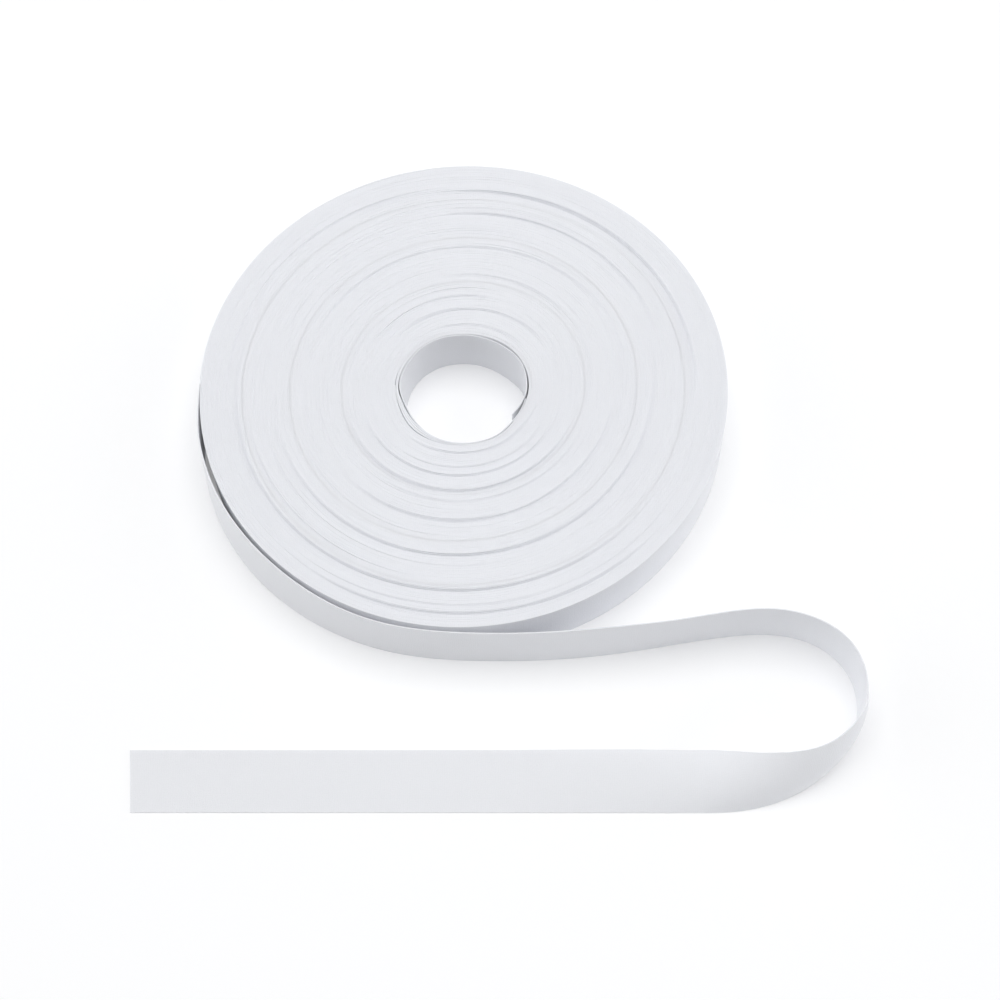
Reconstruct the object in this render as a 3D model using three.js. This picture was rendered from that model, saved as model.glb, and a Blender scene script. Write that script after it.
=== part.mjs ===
// A roll of narrow cotton ribbon, wound without a core and lying on its side.
// The outermost turn has come off the front of the roll. It runs off to the right standing on
// its edge, turns back and lies flat in front of the roll, up to its straight cut end.
// Millimetres, +Z up. The tape stands and lies on Z = 0.
import * as THREE from 'three';
import { mergeVertices } from 'three/addons/utils/BufferGeometryUtils.js';

// The ribbon and the roll
const RIBBON_WIDTH = 12.7;
const ROLL_RADIUS = 55;
const HOLE_RADIUS = 12.4;
const RIM_ROUND = 0.3;
const CLEARANCE = 0.36;

// The top of the roll. Towards the hole the turns stand a little lower and off centre.
const DISH_DEPTH = 0.8;
const INNER_SHIFT = { x: -0.4, y: -0.45 };
const RIDGE_FADE = 2.2;
const RIDGE_HALF_STEP = 0.12;
const WIDEST_BAND = 4.5;
const ROUND_STEPS = 84;

// Each ridge is a step between two groups of turns. A drop above 0 has the inner group higher.
// middle is where round the roll it is highest, and reach how far it runs to each side.
const RIDGES = [
  { radius: 52.0, drop: 0.55, middle: -85, reach: 75 },
  { radius: 48.6, drop: -0.8, middle: 50, reach: 80 },
  { radius: 46.9, drop: 0.7, middle: -110, reach: 105 },
  { radius: 43.1, drop: -0.45, middle: 60, reach: 70 },
  { radius: 39.3, drop: 0.7, middle: -80, reach: 110 },
  { radius: 34.5, drop: -0.4, middle: 50, reach: 60 },
  { radius: 31.4, drop: 0.55, middle: -75, reach: 95 },
  { radius: 27.0, drop: -0.35, middle: 60, reach: 65 },
  { radius: 24.9, drop: 0.65, middle: -95, reach: 95 },
  { radius: 21.6, drop: 0.5, middle: -90, reach: 95 },
  { radius: 18.4, drop: -0.4, middle: 95, reach: 80 },
  { radius: 16.5, drop: 0.4, middle: -75, reach: 85 },
];

// The innermost turn. Its cut end makes a step in the wall of the hole, which fades out in the
// turns round it.
const HOLE_STEP = 0.8;
const HOLE_STEP_FADE = 3;
const HOLE_END_ANGLE = -27;

// The loose end. Each row is a place along its lower edge, from where it leaves the roll on
// the left: how sharply it bends there, in degrees a millimetre with left turns above 0, and
// how far its upper edge leans to the right, in degrees, 90 being flat on the surface.
const LOOSE_THICKNESS = 1;
const FIRST_HEADING = -90;
const LAST_HEADING = -180;
const FLAT_LENGTH = 96;
const LOOSE_ROUTE = [
  { along: 0, bend: 0.6, lean: 0 },
  { along: 20, bend: 1.15, lean: -3 },
  { along: 45, bend: 1.08, lean: -3 },
  { along: 75, bend: 0.98, lean: -3 },
  { along: 95, bend: 0.3, lean: -3 },
  { along: 115, bend: 0.37, lean: -3 },
  { along: 135, bend: -0.1, lean: 0 },
  { along: 150, bend: -1.5, lean: -1 },
  { along: 160, bend: -3.4, lean: 0 },
  { along: 170, bend: -4.2, lean: -1 },
  { along: 180, bend: -3.6, lean: -1 },
  { along: 190, bend: -2.3, lean: 6 },
  { along: 205, bend: -1.8, lean: 37 },
  { along: 213, bend: -1.5, lean: 60 },
  { along: 222, bend: 0, lean: 83 },
  { along: 235, bend: 0, lean: 90 },
];
const BENT_STEP = 2;
const FLAT_STEP = 10;
const STEPS_ACROSS = 2;
const ROUTE_FINENESS = 0.25;

const MERGE_DISTANCE = 1e-3;

const COTTON = { color: '#e6e7ec', roughness: 0.9, metalness: 0 };
const cotton = () => new THREE.MeshStandardMaterial(COTTON);

// A smooth value between the rows of a table, with no overshoot
function smoothBetween(rows, key, column, at) {
  const last = rows.length - 1;
  if (at <= rows[0][key]) return rows[0][column];
  if (at >= rows[last][key]) return rows[last][column];
  const i = rows.findIndex((row) => row[key] > at) - 1;
  const slope = (a, b) => (rows[b][column] - rows[a][column]) / (rows[b][key] - rows[a][key]);
  const tangent = (k) => {
    if (k === 0 || k === last) return 0;
    const before = slope(k - 1, k);
    const after = slope(k, k + 1);
    return before * after > 0 ? (2 * before * after) / (before + after) : 0;
  };
  const gap = rows[i + 1][key] - rows[i][key];
  const t = (at - rows[i][key]) / gap;
  const rise = t * t * (3 - 2 * t);
  return rows[i][column] * (1 - rise) + rows[i + 1][column] * rise
    + gap * tangent(i) * t * (1 - t) ** 2 - gap * tangent(i + 1) * t * t * (1 - t);
}

// How strongly a ridge shows at an angle round the roll, from 1 at its middle to 0 at its ends
function ridgeStrength(ridge, angle) {
  const away = Math.abs(THREE.MathUtils.euclideanModulo(angle - ridge.middle + 180, 360) - 180);
  return away < ridge.reach ? 0.5 + 0.5 * Math.cos((Math.PI * away) / ridge.reach) : 0;
}

// The height of the turns at a radius and an angle round the roll
function topOfRoll(radius, angle) {
  const inward = (ROLL_RADIUS - radius) / (ROLL_RADIUS - HOLE_RADIUS);
  let height = RIBBON_WIDTH - DISH_DEPTH * inward ** 2;
  for (const ridge of RIDGES) {
    const outside = radius - ridge.radius;
    const side = 0.5 * Math.exp(-Math.abs(outside) / RIDGE_FADE) * Math.sign(outside);
    height -= ridge.drop * ridgeStrength(ridge, angle) * side;
  }
  return height;
}

// The radii at which the top has a row of points: both sides of each ridge, and some between
function topRadii() {
  const marks = [ROLL_RADIUS - RIM_ROUND];
  for (const ridge of RIDGES) {
    marks.push(ridge.radius + RIDGE_HALF_STEP, ridge.radius - RIDGE_HALF_STEP);
  }
  marks.push(HOLE_RADIUS + RIM_ROUND);
  const radii = [marks[0]];
  for (let i = 1; i < marks.length; i += 1) {
    const parts = Math.ceil((marks[i - 1] - marks[i]) / WIDEST_BAND);
    for (let k = 1; k <= parts; k += 1) {
      radii.push(THREE.MathUtils.lerp(marks[i - 1], marks[i], k / parts));
    }
  }
  return radii;
}

// The wound roll: a ring turned from its section, its top raised and lowered in groups of turns
function makeRoll() {
  const section = [new THREE.Vector2(HOLE_RADIUS, 0), new THREE.Vector2(ROLL_RADIUS, 0)];
  section.push(new THREE.Vector2(ROLL_RADIUS, RIBBON_WIDTH - RIM_ROUND));
  for (const radius of topRadii()) section.push(new THREE.Vector2(radius, RIBBON_WIDTH));
  section.push(new THREE.Vector2(HOLE_RADIUS, RIBBON_WIDTH - RIM_ROUND), section[0].clone());
  const lathe = new THREE.LatheGeometry(section, ROUND_STEPS);
  lathe.rotateX(Math.PI / 2);
  lathe.deleteAttribute('normal');
  lathe.deleteAttribute('uv');
  const ring = mergeVertices(lathe, MERGE_DISTANCE);
  const place = ring.getAttribute('position');
  const reach = ROLL_RADIUS - HOLE_RADIUS;
  for (let i = 0; i < place.count; i += 1) {
    const radius = Math.hypot(place.getX(i), place.getY(i));
    const turn = Math.atan2(place.getY(i), place.getX(i));
    const angle = THREE.MathUtils.radToDeg(turn);
    const inward = (ROLL_RADIUS - radius) / reach;
    const wound = THREE.MathUtils.euclideanModulo(angle - HOLE_END_ANGLE, 360) / 360;
    const share = Math.max(0, 1 - (radius - HOLE_RADIUS) / HOLE_STEP_FADE);
    const moved = radius + HOLE_STEP * wound * share;
    const sunk = RIBBON_WIDTH - place.getZ(i);
    const height = place.getZ(i) > RIM_ROUND ? topOfRoll(radius, angle) - sunk : 0;
    place.setXYZ(
      i,
      moved * Math.cos(turn) + INNER_SHIFT.x * inward,
      moved * Math.sin(turn) + INNER_SHIFT.y * inward,
      height,
    );
  }
  return outward(ring);
}

// The same mesh with its faces pointing out
function outward(geometry) {
  const index = geometry.getIndex();
  const place = geometry.getAttribute('position');
  const corner = [0, 1, 2].map(() => new THREE.Vector3());
  let volume = 0;
  for (let i = 0; i < index.count; i += 3) {
    corner.forEach((point, k) => point.fromBufferAttribute(place, index.getX(i + k)));
    volume += corner[0].dot(corner[1].clone().cross(corner[2]));
  }
  if (volume < 0) {
    for (let i = 0; i < index.count; i += 3) {
      const second = index.getX(i + 1);
      index.setX(i + 1, index.getX(i + 2));
      index.setX(i + 2, second);
    }
  }
  geometry.computeVertexNormals();
  return geometry;
}

// The loose end's lower edge, walked in small steps: place, heading and lean
function walkRoute() {
  const bentLength = LOOSE_ROUTE[LOOSE_ROUTE.length - 1].along;
  const bendAt = (along) => smoothBetween(LOOSE_ROUTE, 'along', 'bend', along);
  let left = 0;
  let right = 0;
  for (let along = 0; along < bentLength; along += ROUTE_FINENESS) {
    const bend = bendAt(along + ROUTE_FINENESS / 2) * ROUTE_FINENESS;
    if (bend > 0) left += bend;
    else right += bend;
  }
  const rightScale = (LAST_HEADING - FIRST_HEADING - left) / right;
  const places = [];
  let heading = FIRST_HEADING;
  let x = -(ROLL_RADIUS + CLEARANCE + LOOSE_THICKNESS / 2);
  let y = 0;
  const total = bentLength + FLAT_LENGTH;
  for (let along = 0; along <= total + ROUTE_FINENESS / 2; along += ROUTE_FINENESS) {
    const lean = smoothBetween(LOOSE_ROUTE, 'along', 'lean', along);
    places.push({ along, x, y, heading, lean });
    const bend = bendAt(along + ROUTE_FINENESS / 2) * ROUTE_FINENESS;
    const turned = heading + 0.5 * (bend > 0 ? bend : bend * rightScale);
    x += ROUTE_FINENESS * Math.cos(THREE.MathUtils.degToRad(turned));
    y += ROUTE_FINENESS * Math.sin(THREE.MathUtils.degToRad(turned));
    heading += bend > 0 ? bend : bend * rightScale;
  }
  return places;
}

// The places where the loose end has a section: close together where it bends
function sectionPlaces() {
  const walked = walkRoute();
  const bentLength = LOOSE_ROUTE[LOOSE_ROUTE.length - 1].along;
  const chosen = [walked[0]];
  for (const place of walked) {
    const step = place.along <= bentLength ? BENT_STEP : FLAT_STEP;
    if (place.along - chosen[chosen.length - 1].along >= step - 1e-6) chosen.push(place);
  }
  const end = walked[walked.length - 1];
  if (end.along - chosen[chosen.length - 1].along < FLAT_STEP / 2) chosen.pop();
  chosen.push(end);
  return chosen;
}

// A section of the loose end, as a loop of points: one face from edge to edge, then the other
function looseSection({ x, y, heading, lean }) {
  const turn = THREE.MathUtils.degToRad(heading);
  const tip = THREE.MathUtils.degToRad(lean);
  const rightX = Math.sin(turn);
  const rightY = -Math.cos(turn);
  const half = LOOSE_THICKNESS / 2;
  const lift = half * Math.abs(Math.sin(tip));
  const point = (across, out) => {
    const level = Math.sin(tip) * across + Math.cos(tip) * out;
    const height = Math.cos(tip) * across - Math.sin(tip) * out + lift;
    return [x + rightX * level, y + rightY * level, Math.max(0, height)];
  };
  const loop = [];
  for (let k = 0; k <= STEPS_ACROSS; k += 1) {
    loop.push(point((RIBBON_WIDTH * k) / STEPS_ACROSS, half));
  }
  for (let k = STEPS_ACROSS; k >= 0; k -= 1) {
    loop.push(point((RIBBON_WIDTH * k) / STEPS_ACROSS, -half));
  }
  return loop;
}

// The loose end: its sections joined along the route and closed at both ends
function makeLooseEnd() {
  const sections = sectionPlaces().map(looseSection);
  const around = sections[0].length;
  const faces = [];
  for (let i = 0; i + 1 < sections.length; i += 1) {
    for (let k = 0; k < around; k += 1) {
      const next = (k + 1) % around;
      const a = i * around + k;
      const b = i * around + next;
      faces.push(a, b, b + around, a, b + around, a + around);
    }
  }
  const lastStart = (sections.length - 1) * around;
  for (let k = 0; k < STEPS_ACROSS; k += 1) {
    const across = around - 1 - k;
    faces.push(k, across, across - 1, k, across - 1, k + 1);
    faces.push(lastStart + k, lastStart + across - 1, lastStart + across);
    faces.push(lastStart + k, lastStart + k + 1, lastStart + across - 1);
  }
  const geometry = new THREE.BufferGeometry();
  const flat = new Float32Array(sections.flat(2));
  geometry.setAttribute('position', new THREE.BufferAttribute(flat, 3));
  geometry.setIndex(faces);
  return outward(geometry);
}

const model = new THREE.Group();
const roll = new THREE.Mesh(makeRoll(), cotton());
roll.name = 'roll';
const looseEnd = new THREE.Mesh(makeLooseEnd(), cotton());
looseEnd.name = 'loose_end';
model.add(roll, looseEnd);

// The origin is the middle of the whole part's box, on the surface that it lies on
const box = new THREE.Box3().setFromObject(model);
model.position.set(-(box.min.x + box.max.x) / 2, -(box.min.y + box.max.y) / 2, -box.min.z);

const group = new THREE.Group();
group.add(model);

export default group;
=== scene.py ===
# A roll of narrow white cotton ribbon, wound without a core and lying on its side, with its
# outer end run off to the right, turned back and laid flat in front. Metres, +Z up.
import math

import bmesh
import bpy
from mathutils import Matrix, Vector, noise


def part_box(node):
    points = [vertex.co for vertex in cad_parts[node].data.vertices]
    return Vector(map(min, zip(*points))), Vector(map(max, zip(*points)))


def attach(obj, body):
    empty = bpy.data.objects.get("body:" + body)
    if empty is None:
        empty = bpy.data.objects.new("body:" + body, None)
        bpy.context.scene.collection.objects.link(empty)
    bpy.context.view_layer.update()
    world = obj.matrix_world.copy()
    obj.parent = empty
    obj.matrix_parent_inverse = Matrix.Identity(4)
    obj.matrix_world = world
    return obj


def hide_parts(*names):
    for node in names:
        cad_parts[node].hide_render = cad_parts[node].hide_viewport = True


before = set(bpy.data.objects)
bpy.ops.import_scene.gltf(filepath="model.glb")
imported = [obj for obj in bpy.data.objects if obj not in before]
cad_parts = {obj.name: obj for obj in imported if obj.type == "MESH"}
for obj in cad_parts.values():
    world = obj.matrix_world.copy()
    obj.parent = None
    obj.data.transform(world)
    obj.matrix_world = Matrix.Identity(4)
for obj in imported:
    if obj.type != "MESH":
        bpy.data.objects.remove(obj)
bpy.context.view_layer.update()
scene = bpy.context.scene


# The camera looks down on the roll from the front, at the photograph's angle, a little
# turned to the left and tipped clockwise.
camera_place = Vector((0.00796, -0.19046, 0.37447))
camera_elevation = math.radians(63.51)
camera_turn = math.radians(2.446)
camera_tip = math.radians(-2.349)
camera_lens = 72.0
camera_sensor = 36.0
nearest_seen = 0.01

camera = bpy.data.objects.new("camera", bpy.data.cameras.new("camera"))
camera.data.lens = camera_lens
camera.data.sensor_width = camera_sensor
camera.data.clip_start = nearest_seen
camera.matrix_world = (
    Matrix.Translation(camera_place)
    @ Matrix.Rotation(camera_turn, 4, "Z")
    @ Matrix.Rotation(math.pi / 2 - camera_elevation, 4, "X")
    @ Matrix.Rotation(camera_tip, 4, "Z")
)
scene.collection.objects.link(camera)
scene.camera = camera


# The studio: a white table lit softly from below, as for a picture on plain white, a pale
# room that is brighter to the left and right, and one large soft light overhead.
table_size = 3.0
table_drop = 0.00005
table_white = (0.86, 0.86, 0.865, 1)
table_glow = 0.17
room_white = (0.98, 0.99, 1.0, 1)
room_strength = 0.10
room_sides_strength = 1.55
soft_light_size = 1.2
soft_light_place = Vector((0.05, 0.27, 1.38))
soft_light_power = 12.2

scene.view_settings.view_transform = "Standard"

sheet_of_paper = bmesh.new()
bmesh.ops.create_grid(
    sheet_of_paper,
    x_segments=1,
    y_segments=1,
    size=table_size / 2,
    matrix=Matrix.Translation((0, 0, -table_drop)),
)
table_mesh = bpy.data.meshes.new("table")
sheet_of_paper.to_mesh(table_mesh)
sheet_of_paper.free()
table = bpy.data.objects.new("table", table_mesh)
scene.collection.objects.link(table)

table_paint = bpy.data.materials.new("white_table")
table_paint.use_nodes = True
table_shader = table_paint.node_tree.nodes["Principled BSDF"]
table_shader.inputs["Base Color"].default_value = table_white
table_shader.inputs["Roughness"].default_value = 1.0
table_shader.inputs["Specular IOR Level"].default_value = 0.0
table_shader.inputs["Emission Color"].default_value = (1, 1, 1, 1)
table_shader.inputs["Emission Strength"].default_value = table_glow
table_mesh.materials.append(table_paint)

room = bpy.data.worlds.new("room")
room.use_nodes = True
room.node_tree.nodes["Background"].inputs["Color"].default_value = room_white
room_nodes, room_links = room.node_tree.nodes, room.node_tree.links
room_way = room_nodes.new("ShaderNodeTexCoord")
room_apart = room_nodes.new("ShaderNodeSeparateXYZ")
room_links.new(room_way.outputs["Generated"], room_apart.inputs["Vector"])
sideways = room_nodes.new("ShaderNodeMath")
sideways.operation = "POWER"
sideways.inputs[1].default_value = 2.0
room_links.new(room_apart.outputs["X"], sideways.inputs[0])
brighter_sides = room_nodes.new("ShaderNodeMath")
brighter_sides.operation = "MULTIPLY_ADD"
brighter_sides.inputs[1].default_value = room_sides_strength
brighter_sides.inputs[2].default_value = room_strength
room_links.new(sideways.outputs[0], brighter_sides.inputs[0])
room_links.new(brighter_sides.outputs[0], room_nodes["Background"].inputs["Strength"])
scene.world = room

soft_light = bpy.data.objects.new("soft_light", bpy.data.lights.new("soft_light", "AREA"))
soft_light.data.size = soft_light_size
soft_light.data.energy = soft_light_power
soft_light.location = soft_light_place
soft_light.rotation_euler = (-soft_light_place).to_track_quat("-Z", "Y").to_euler()
scene.collection.objects.link(soft_light)


# The wound roll is the same ribbon in 210 turns, pressed flat on each other with no core.
# What shows on top is the woven edge of each turn. Groups of turns slipped a little while it
# was wound, which leaves the curved ridges, and towards the hole the turns stand lower.
ribbon_width = 0.0127
turn_pitch = 0.000197
turn_count = 210
wall_radius = 0.01353
roll_radius = wall_radius + turn_count * turn_pitch
steps_round = 200
turns_start = math.radians(-180)

# Points nearer to each other than this are made one, and edges sharper than this stay crisp
same_place = turn_pitch / 50
sharp_edge = math.radians(60)

# The woven edge of one turn: how much of its thickness is rounded off, and how deep
edge_shoulder = 0.27
edge_groove = 0.00004

# How unevenly the turns stand: each turn as a whole, and a slow swell over the roll's top
edge_unevenness = 0.00009
unevenness_a_turn = 11.3
noise_row = (0.37, 0.61)
slow_unevenness = 0.00016
slow_unevenness_size = 0.0035
slow_unevenness_round = 1.3

# The dish of the top, and how far its depth shifts what the camera sees
dish_depth = 0.0008
lower_seems_nearer = 0.5

# The turns in the middle of the roll are a little longer one way than the other
oval_amount = 0.00038
oval_direction = math.radians(50)
oval_from = 0.0045
oval_to = 0.015

# The wall of the hole is not round. The first turns lie loose between two radii from the
# roll's axis and leave a slit outside them at the front left; the rest begin behind the slit.
# Each row: the angle in degrees, the two radii, and the width of the slit.
loose_turns = 3
wall_settles = 0.008
hole_wall = (
    (-180, 0.0136, 0.0141, 0.0), (-160, 0.0132, 0.0141, 0.0001), (-133, 0.0134, 0.0145, 0.0002),
    (-106, 0.0139, 0.0144, 0.0001), (-85, 0.0140, 0.0145, 0.0), (-62, 0.0141, 0.0146, 0.0),
    (-32, 0.0136, 0.0142, 0.0), (5, 0.0137, 0.0143, 0.0), (27, 0.0135, 0.0141, 0.0),
    (43, 0.0132, 0.0138, 0.0), (75, 0.0125, 0.0131, 0.0), (92, 0.0124, 0.0130, 0.0),
    (112, 0.0127, 0.0133, 0.0), (150, 0.0131, 0.0137, 0.0), (180, 0.0136, 0.0141, turn_pitch),
)

# Each ridge: its radius as it is seen, its drop from the inner group to the outer one, the
# angle of its middle and how far it runs to each side, in degrees
ridge_fade = 0.0022
ridge_softness = 0.00022
ridge_ends = 0.5
ridges = (
    (0.0520, 0.00070, -85, 48),
    (0.0503, 0.00036, -80, 60),
    (0.0494, -0.00036, 140, 50),
    (0.0486, -0.00094, 45, 60),
    (0.0473, 0.00088, -115, 95),
    (0.0450, 0.00042, -138, 35),
    (0.0441, -0.00018, 70, 30),
    (0.0429, -0.00054, 58, 45),
    (0.0419, 0.00034, -115, 55),
    (0.0393, 0.00088, -80, 95),
    (0.0356, 0.00022, -125, 40),
    (0.0338, -0.00036, 100, 85),
    (0.0315, 0.00064, -70, 80),
    (0.0273, 0.00034, -78, 70),
    (0.0270, -0.00030, 65, 40),
    (0.0250, 0.00082, -90, 85),
    (0.0231, -0.00022, 115, 45),
    (0.0216, 0.00064, -90, 85),
    (0.0213, -0.00048, 112, 45),
    (0.0196, 0.00042, -75, 65),
    (0.0182, -0.00048, 85, 65),
    (0.0164, 0.00048, -75, 75),
    (0.0147, 0.00036, -125, 45),
    (0.0142, -0.00036, 75, 45),
)

# The groups of turns that are made as one mesh each, by the number of their last turn
group_ends = (loose_turns, 60, 115, 165, turn_count)

low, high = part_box("roll")
roll_axis = Vector(((low.x + high.x) / 2, (low.y + high.y) / 2))


def away_from(angle, middle):
    """How far round the roll an angle is from another, either way"""
    return abs((angle - middle + math.pi) % (2 * math.pi) - math.pi)


def rise(share):
    """A smooth rise from 0 to 1"""
    share = min(max(share, 0.0), 1.0)
    return share * share * (3 - 2 * share)


def smooth_between(rows, column, at):
    """A smooth value between the rows of a table, with no overshoot"""
    if at <= rows[0][0]:
        return rows[0][column]
    if at >= rows[-1][0]:
        return rows[-1][column]
    i = next(k for k, row in enumerate(rows) if row[0] > at) - 1

    def slope(a, b):
        return (rows[b][column] - rows[a][column]) / (rows[b][0] - rows[a][0])

    def tangent(k):
        if k in (0, len(rows) - 1):
            return 0.0
        before, after = slope(k - 1, k), slope(k, k + 1)
        return 2 * before * after / (before + after) if before * after > 0 else 0.0

    gap = rows[i + 1][0] - rows[i][0]
    t = (at - rows[i][0]) / gap
    return (
        rows[i][column] * (1 - rise(t))
        + rows[i + 1][column] * rise(t)
        + gap * tangent(i) * t * (1 - t) ** 2
        - gap * tangent(i + 1) * t * t * (1 - t)
    )


behind_slit = wall_radius + loose_turns * turn_pitch


def hole_wall_at(lap):
    """At a share of a lap round the roll: the two radii of the loose turns, and how much
    further out the wall behind the slit is than on a round roll"""
    degrees = math.degrees(turns_start) + 360 * lap
    inside, outside, slit = (smooth_between(hole_wall, column, degrees) for column in (1, 2, 3))
    return inside, outside, outside + slit - lap * turn_pitch - behind_slit


wall_by_step = [hole_wall_at(step / steps_round) for step in range(steps_round + 1)]


def pushed_out(radius, angle, stands_out):
    """How much further out than on a round roll a turn lies, with the oval and the hole's wall"""
    oval = rise((radius - behind_slit) / oval_from) * rise((roll_radius - radius) / oval_to)
    settled = math.exp((behind_slit - radius) / wall_settles)
    return oval_amount * oval * math.cos(2 * (angle - oval_direction)) + stands_out * settled


def ridge_on_turns(radius, drop, middle, reach):
    """A ridge by the radius of the turn it follows, for the radius where it is seen"""
    inward = (roll_radius - radius) / (roll_radius - wall_radius)
    angle = math.radians(middle)
    lower = lower_seems_nearer * dish_depth * inward**2 * math.sin(angle)
    stands_out = hole_wall_at((angle - turns_start) / (2 * math.pi))[2]
    turn_radius = radius + lower - pushed_out(radius, angle, stands_out)
    return turn_radius, drop, angle, math.radians(reach)


turn_ridges = [ridge_on_turns(*ridge) for ridge in ridges]


def turn_height(radius, angle, turn):
    """How high the upper edge of the ribbon stands, at a radius and angle round the roll"""
    inward = (roll_radius - radius) / (roll_radius - wall_radius)
    height = ribbon_width - dish_depth * inward**2
    for ridge_radius, drop, middle, reach in turn_ridges:
        outside = radius - ridge_radius
        along = away_from(angle, middle) / reach
        if along < 1:
            strength = rise((1 - along) / ridge_ends)
            side = math.tanh(outside / ridge_softness) * math.exp(-abs(outside) / ridge_fade)
            height -= strength * drop * side / 2
    height += edge_unevenness * noise.noise(Vector((turn * unevenness_a_turn, *noise_row)))
    around = Vector((0, math.cos(angle), math.sin(angle))) * slow_unevenness_round
    slow_place = around + Vector((radius / slow_unevenness_size, 0, 0))
    return height + slow_unevenness * noise.noise(slow_place)


def turn_place(turn, step, loose):
    """Where the inner face of a turn is, at a step round the roll"""
    angle = turns_start + 2 * math.pi * step / steps_round
    inside, outside, stands_out = wall_by_step[step]
    if loose:
        radius = inside + (outside - inside) * turn / loose_turns
    else:
        radius = wall_radius + (turn + step / steps_round) * turn_pitch
        radius += pushed_out(radius, angle, stands_out)
    return roll_axis + radius * Vector((math.cos(angle), math.sin(angle)))


def wind_turns(name, first, last):
    """A ring of turns, wound from a flat grid: its columns go over the woven edges and back
    along the underside, and its rows go round the roll while each turn moves out by one"""
    loose = last <= loose_turns
    columns = []
    for turn in range(first, last):
        columns.append((turn, "groove"))
        columns.append((turn + edge_shoulder, "edge"))
        columns.append((turn + 1 - edge_shoulder, "edge"))
    columns.append((last, "groove"))
    columns += [(turn, "floor") for turn in range(last, first - 1, -1)]
    columns.append((first, "groove"))
    winding = bmesh.new()
    counted = Matrix.Diagonal((len(columns) - 1, steps_round, 1, 1))
    bmesh.ops.create_grid(
        winding, x_segments=len(columns) - 1, y_segments=steps_round, size=0.5,
        matrix=counted @ Matrix.Translation((0.5, 0.5, 0)),
    )
    heights = {}

    def height_of(turn, step):
        if (turn, step) not in heights:
            middle = turn + 0.5 + (0 if loose else step / steps_round)
            angle = turns_start + 2 * math.pi * step / steps_round
            heights[turn, step] = turn_height(wall_radius + middle * turn_pitch, angle, middle)
        return heights[turn, step]

    for vertex in winding.verts:
        turn, kind = columns[round(vertex.co.x)]
        step = round(vertex.co.y)
        height = 0.0
        if kind == "edge":
            height = height_of(math.floor(turn), step)
        elif kind == "groove":
            height = min(height_of(turn - 1, step), height_of(turn, step)) - edge_groove
        vertex.co = (*turn_place(turn, step, loose), height)

    bmesh.ops.remove_doubles(winding, verts=winding.verts, dist=same_place)
    ends = [edge for edge in winding.edges if edge.is_boundary]
    bmesh.ops.holes_fill(winding, edges=ends)
    bmesh.ops.recalc_face_normals(winding, faces=winding.faces)
    mesh = bpy.data.meshes.new(name)
    winding.to_mesh(mesh)
    winding.free()
    mesh.shade_smooth()
    mesh.set_sharp_from_angle(angle=sharp_edge)
    piece = bpy.data.objects.new(name, mesh)
    scene.collection.objects.link(piece)
    return piece


# White cotton yarn in a plain weave, a little uneven in tone as undyed thread is, with painted
# shade in the low gaps between the thread crossings
cotton_tone = (0.86, 0.868, 0.90, 1)
cotton_gap_shade_and_tone = (0.80, 0.81, 0.845, 1)
bump_depth = 0.00006
bump_strength = 0.3
light_spread = 0.0007
warp_spacing_mm = 0.32
weft_spacing_mm = 0.42
thread_wander_mm = 0.9
thread_roundness = 0.5
fibre_height = 1.2


def make_weave_group():
    """The plain weave from a place in millimetres: its height, and where it is darker, which is
    painted shade in the low gaps between thread crossings, varied by uneven fibre tone
    """
    group = bpy.data.node_groups.new("plain_weave", "ShaderNodeTree")
    group.interface.new_socket("Place", in_out="INPUT", socket_type="NodeSocketVector")
    group.interface.new_socket("Height", in_out="OUTPUT", socket_type="NodeSocketFloat")
    group.interface.new_socket("Shade", in_out="OUTPUT", socket_type="NodeSocketFloat")
    nodes, links = group.nodes, group.links
    inside = nodes.new("NodeGroupInput")
    outside = nodes.new("NodeGroupOutput")

    def math_node(operation, first, second=None):
        node = nodes.new("ShaderNodeMath")
        node.operation = operation
        for socket, value in zip(node.inputs, (first, second)):
            if isinstance(value, (int, float)):
                socket.default_value = value
            elif value is not None:
                links.new(value, socket)
        return node.outputs[0]

    wander = nodes.new("ShaderNodeTexNoise")
    wander.inputs["Scale"].default_value = 1.1
    wander.inputs["Detail"].default_value = 2.0
    links.new(inside.outputs["Place"], wander.inputs["Vector"])
    apart = nodes.new("ShaderNodeSeparateXYZ")
    links.new(inside.outputs["Place"], apart.inputs["Vector"])
    bent = math_node("MULTIPLY", wander.outputs["Fac"], thread_wander_mm)
    along = math_node("ADD", apart.outputs["X"], bent)
    across = math_node("ADD", apart.outputs["Y"], bent)
    weft = math_node("SINE", math_node("MULTIPLY", along, math.pi / weft_spacing_mm))
    warp = math_node("SINE", math_node("MULTIPLY", across, math.pi / warp_spacing_mm))
    crossing = math_node("ABSOLUTE", math_node("MULTIPLY", weft, warp))
    thread = math_node("POWER", crossing, thread_roundness)

    fibre = nodes.new("ShaderNodeTexNoise")
    fibre.inputs["Scale"].default_value = 2.3
    fibre.inputs["Detail"].default_value = 4.0
    fibre.inputs["Roughness"].default_value = 0.65
    links.new(inside.outputs["Place"], fibre.inputs["Vector"])
    raised = math_node("MULTIPLY", fibre.outputs["Fac"], fibre_height)
    height = math_node("ADD", thread, raised)
    # Painted shade: darker where the thread is low between its crossings, times the fibre noise for
    # uneven tone
    shade = math_node("MULTIPLY", math_node("SUBTRACT", 1.0, thread), fibre.outputs["Fac"])
    links.new(height, outside.inputs["Height"])
    links.new(shade, outside.inputs["Shade"])
    return group


weave_group = make_weave_group()


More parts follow.
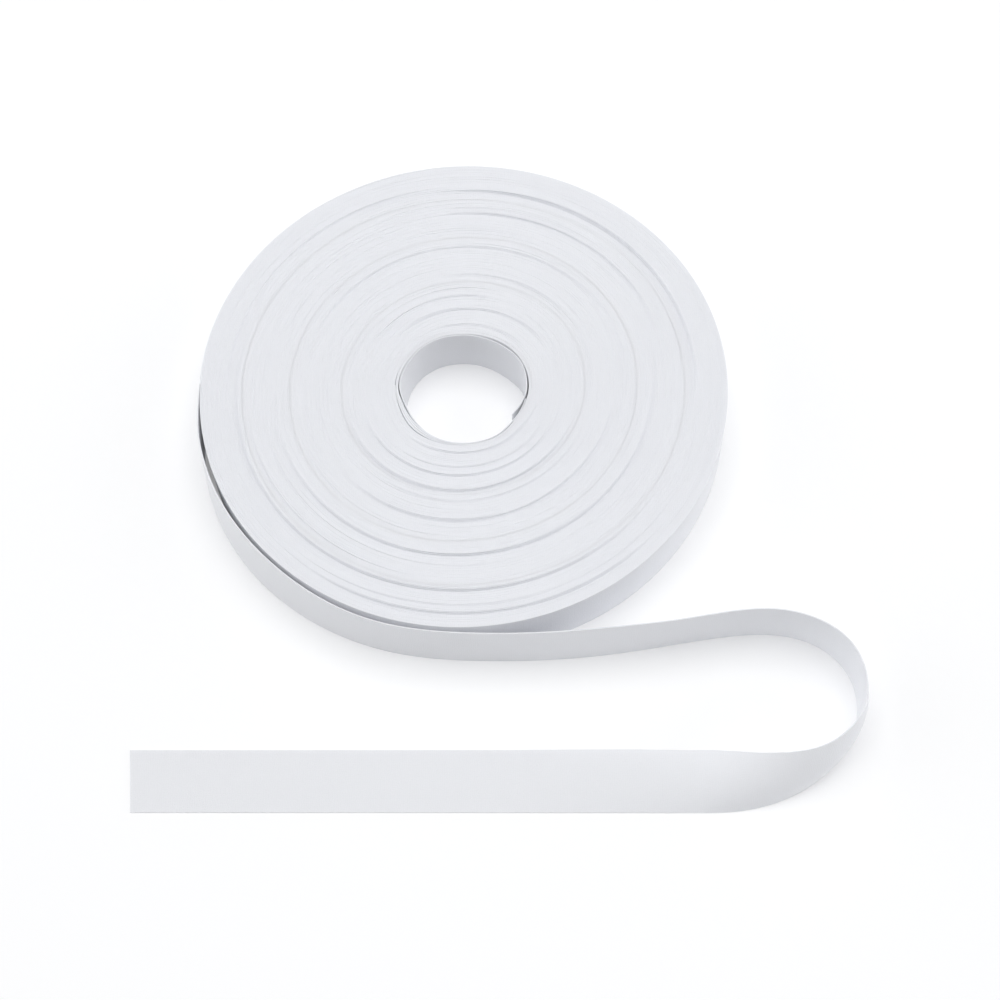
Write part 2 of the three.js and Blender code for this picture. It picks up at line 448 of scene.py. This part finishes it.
def cotton_material(name):
    """Cotton with the weave on it; the caller joins the place on the cloth to the weave"""
    material = bpy.data.materials.new(name)
    material.use_nodes = True
    nodes, links = material.node_tree.nodes, material.node_tree.links
    shader = nodes["Principled BSDF"]
    shader.inputs["Roughness"].default_value = 0.9
    shader.inputs["Specular IOR Level"].default_value = 0.2
    shader.inputs["Sheen Weight"].default_value = 0.15
    shader.inputs["Sheen Roughness"].default_value = 0.5
    shader.inputs["Subsurface Weight"].default_value = 0.35
    shader.inputs["Subsurface Radius"].default_value = (1, 1, 1)
    shader.inputs["Subsurface Scale"].default_value = light_spread
    weave = nodes.new("ShaderNodeGroup")
    weave.node_tree = weave_group
    # The base colour darkens towards the painted gap shade and uneven tone of the weave
    tone = nodes.new("ShaderNodeMix")
    tone.data_type = "RGBA"
    tone.inputs["A"].default_value = cotton_tone
    tone.inputs["B"].default_value = cotton_gap_shade_and_tone
    links.new(weave.outputs["Shade"], tone.inputs["Factor"])
    links.new(tone.outputs["Result"], shader.inputs["Base Color"])
    bump = nodes.new("ShaderNodeBump")
    bump.inputs["Strength"].default_value = bump_strength
    bump.inputs["Distance"].default_value = bump_depth
    links.new(weave.outputs["Height"], bump.inputs["Height"])
    links.new(bump.outputs["Normal"], shader.inputs["Normal"])
    return material, weave, nodes, links


wound_cotton, wound_weave, wound_nodes, wound_links = cotton_material("wound_cotton")
place_in_roll = wound_nodes.new("ShaderNodeTexCoord")
from_axis = wound_nodes.new("ShaderNodeMapping")
from_axis.inputs["Location"].default_value = (-1000 * roll_axis.x, -1000 * roll_axis.y, 0)
from_axis.inputs["Scale"].default_value = (1000, 1000, 1000)
wound_links.new(place_in_roll.outputs["Object"], from_axis.inputs["Vector"])
wound_links.new(from_axis.outputs["Vector"], wound_weave.inputs["Place"])

turns_so_far = 0
for number, group_end in enumerate(group_ends, start=1):
    turns = wind_turns(f"wound_turns_{number}", turns_so_far, group_end)
    turns.data.materials.append(wound_cotton)
    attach(turns, "root")
    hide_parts("roll")
    turns_so_far = group_end


# The innermost turn is the start of the ribbon, cut straight across. It was wound first and
# has sprung a little way off the wall of the hole, with its cut end bent inwards.
inner_thickness = 0.0002
inner_drop = 0.0009
inner_steps = 210
inner_steps_up = 6
# Each row: the angle in degrees, and the radius of the lower and of the upper edge there
inner_turn_radii = (
    (-34, 0.0124, 0.0124), (-17, 0.0129, 0.0129), (0, 0.0133, 0.0133), (20, 0.0132, 0.0133),
    (37, 0.0125, 0.0129), (51, 0.0121, 0.0125), (72, 0.0120, 0.0122), (92, 0.0121, 0.0122),
    (120, 0.0125, 0.0126), (150, 0.0127, 0.0129), (179, 0.0126, 0.0133), (204, 0.0127, 0.0128),
    (220, 0.0129, 0.0130), (250, 0.0135, 0.0136), (270, 0.0137, 0.0137), (298, 0.0138, 0.0138),
    (320, 0.0134, 0.0134), (346, 0.0134, 0.0134),
)


def woven_strip(name, steps_along, steps_across, thickness, place):
    """A strip of the ribbon: a flat grid, each point of it moved to its place by how far it
    is along and across, from 0 to 1, and then given the thickness of the cloth"""
    strip = bmesh.new()
    strip.loops.layers.uv.new("cloth")
    bmesh.ops.create_grid(
        strip, x_segments=steps_along, y_segments=steps_across, size=0.5,
        matrix=Matrix.Translation((0.5, 0.5, 0)), calc_uvs=True,
    )
    for vertex in strip.verts:
        vertex.co = place(vertex.co.x, vertex.co.y)
    strip.normal_update()
    bmesh.ops.solidify(strip, geom=strip.faces[:], thickness=thickness)
    bmesh.ops.recalc_face_normals(strip, faces=strip.faces)
    mesh = bpy.data.meshes.new(name)
    strip.to_mesh(mesh)
    strip.free()
    mesh.shade_smooth()
    mesh.set_sharp_from_angle(angle=sharp_edge)
    piece = bpy.data.objects.new(name, mesh)
    scene.collection.objects.link(piece)
    return piece


def inner_turn_place(along, across):
    """A point of the innermost turn"""
    degrees = inner_turn_radii[0][0] + along * (inner_turn_radii[-1][0] - inner_turn_radii[0][0])
    angle = math.radians(degrees)
    lower = smooth_between(inner_turn_radii, 1, degrees)
    upper = smooth_between(inner_turn_radii, 2, degrees)
    radius = lower + (upper - lower) * across + inner_thickness / 2
    spot = roll_axis + radius * Vector((math.cos(angle), math.sin(angle)))
    return (*spot, across * (ribbon_width - inner_drop))


def strip_cotton(name, length):
    """The cotton of a strip, its weave laid along and across the strip's own UV map"""
    material, weave, nodes, links = cotton_material(name)
    cloth = nodes.new("ShaderNodeUVMap")
    cloth.uv_map = "cloth"
    laid = nodes.new("ShaderNodeMapping")
    laid.inputs["Scale"].default_value = (1000 * length, 1000 * ribbon_width, 1)
    links.new(cloth.outputs["UV"], laid.inputs["Vector"])
    links.new(laid.outputs["Vector"], weave.inputs["Place"])
    return material


inner_turn = woven_strip(
    "innermost_turn", inner_steps, inner_steps_up, inner_thickness, inner_turn_place)
inner_length = math.radians(inner_turn_radii[-1][0] - inner_turn_radii[0][0]) * wall_radius
inner_turn.data.materials.append(strip_cotton("inner_cotton", inner_length))
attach(inner_turn, "root")
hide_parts("roll")


# The loose end is the last 331 mm of the ribbon. It leaves the roll on the left, stands on
# its edge round the front, turns back at the right and lies flat up to its straight cut end.
loose_thickness = 0.00024
loose_steps = 330
loose_steps_across = 10
flat_length = 0.0658
first_heading = -90.0
last_heading = -180.0
route_step = 0.00025
start_radius = 0.05586
start_nearer = 0.0008
leaves_roll_over = 0.015
least_curl = 1e-4
# Each row: how far along its lower edge, the bend there in degrees a metre, how far its upper
# edge leans over to the right, in degrees, and how far the cloth curls between its two edges
loose_route = (
    (0.000, 600, 0, 0), (0.020, 1150, -4, 0), (0.045, 1080, -7, 0), (0.075, 980, -3, 0),
    (0.095, 300, -3, 0), (0.115, 370, -3, 0), (0.135, -100, 0, 0), (0.150, -1500, -1, 0),
    (0.160, -3400, 0, 5), (0.170, -4200, -1, 18), (0.180, -3600, -1, 32), (0.190, -2300, 6, 46),
    (0.205, -1800, 37, 66), (0.213, -1500, 60, 74), (0.222, 0, 83, 56), (0.235, 0, 87, 25),
    (0.265, 0, 90, 0),
)
# The end is cut a little aslant: how much longer than the route its far edge is, and how far
# before the end it begins to be
longer_far = 0.0012
cut_starts = 0.020
bent_length = loose_route[-1][0]
loose_length = bent_length + flat_length


def walk_loose_route():
    """The places of the lower edge in small steps: where it is, and the way it heads"""
    steps = round(loose_length / route_step)
    bends = [
        smooth_between(loose_route, 1, (step + 0.5) * route_step) * route_step
        for step in range(steps)
    ]
    left_bends = sum(bend for bend in bends if bend > 0)
    right_bends = sum(bend for bend in bends if bend < 0)
    to_flat = (last_heading - first_heading - left_bends) / right_bends
    places = []
    heading = first_heading
    spot = roll_axis - Vector((start_radius, 0))
    for bend in bends:
        places.append((spot, heading))
        bend *= 1 if bend > 0 else to_flat
        middle = math.radians(heading + bend / 2)
        spot = spot + route_step * Vector((math.cos(middle), math.sin(middle)))
        heading += bend
    places.append((spot, heading))
    return places


loose_places = walk_loose_route()
# The cut end is read a little before the last place, between it and the place before it
within_last_step = 1.001


def loose_end_place(along, across):
    """A point of the loose end's outer face"""
    distance = along * loose_length
    number = min(distance / route_step, len(loose_places) - within_last_step)
    before, after = loose_places[math.floor(number)], loose_places[math.floor(number) + 1]
    share = number - math.floor(number)
    spot = before[0].lerp(after[0], share)
    heading = math.radians(before[1] + share * (after[1] - before[1]))
    forward = Vector((math.cos(heading), math.sin(heading)))
    right = Vector((forward.y, -forward.x))
    curl = math.radians(smooth_between(loose_route, 3, distance)) + least_curl
    foot = math.radians(smooth_between(loose_route, 2, distance)) - curl / 2
    lean = foot + curl * across
    out = loose_thickness / 2
    level = ribbon_width / curl * (math.cos(foot) - math.cos(lean)) + math.cos(lean) * out
    height = ribbon_width / curl * (math.sin(lean) - math.sin(foot)) - math.sin(lean) * out
    level -= start_nearer * (1 - rise(distance / leaves_roll_over))
    ahead = longer_far * across * rise((distance - loose_length + cut_starts) / cut_starts)
    return (*(spot + level * right + ahead * forward), max(0.0, height + out * abs(math.sin(foot))))


loose_end = woven_strip(
    "loose_ribbon_end", loose_steps, loose_steps_across, loose_thickness, loose_end_place)
loose_end.data.materials.append(strip_cotton("loose_cotton", loose_length))
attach(loose_end, "root")
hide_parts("loose_end")
